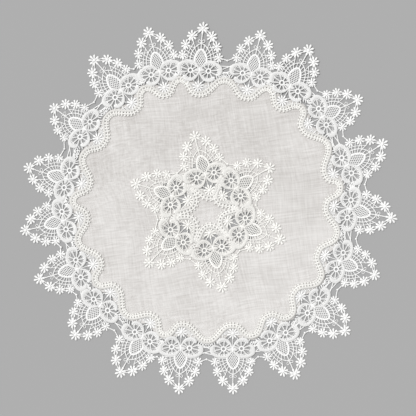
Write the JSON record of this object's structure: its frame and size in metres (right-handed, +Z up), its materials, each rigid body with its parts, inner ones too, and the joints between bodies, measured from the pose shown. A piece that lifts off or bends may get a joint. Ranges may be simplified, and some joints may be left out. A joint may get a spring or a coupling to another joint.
{
  "type": "lace tablecloth",
  "caption": "Round linen tablecloth lying flat, with a pointed guipure lace edging and a six-pointed lace star set into its middle.",
  "frame": {"origin": "middle of the cloth, on the surface it lies on", "axes": "+Z up through the cloth's thickness; +Y from the middle towards the top point of the edging, +X to the right of it, seen from above"},
  "size_m": [0.4017, 0.3958, 0.0025],
  "materials": {
    "linen": "natural off-white slubby plain-weave linen",
    "lace": "white guipure lace, cotton cord and satin stitch, slight sheen"
  },
  "bodies": {
    "root": {"linen_ground": "linen", "lace_edging": "lace", "lace_star": "lace"}
  },
  "joints": []
}
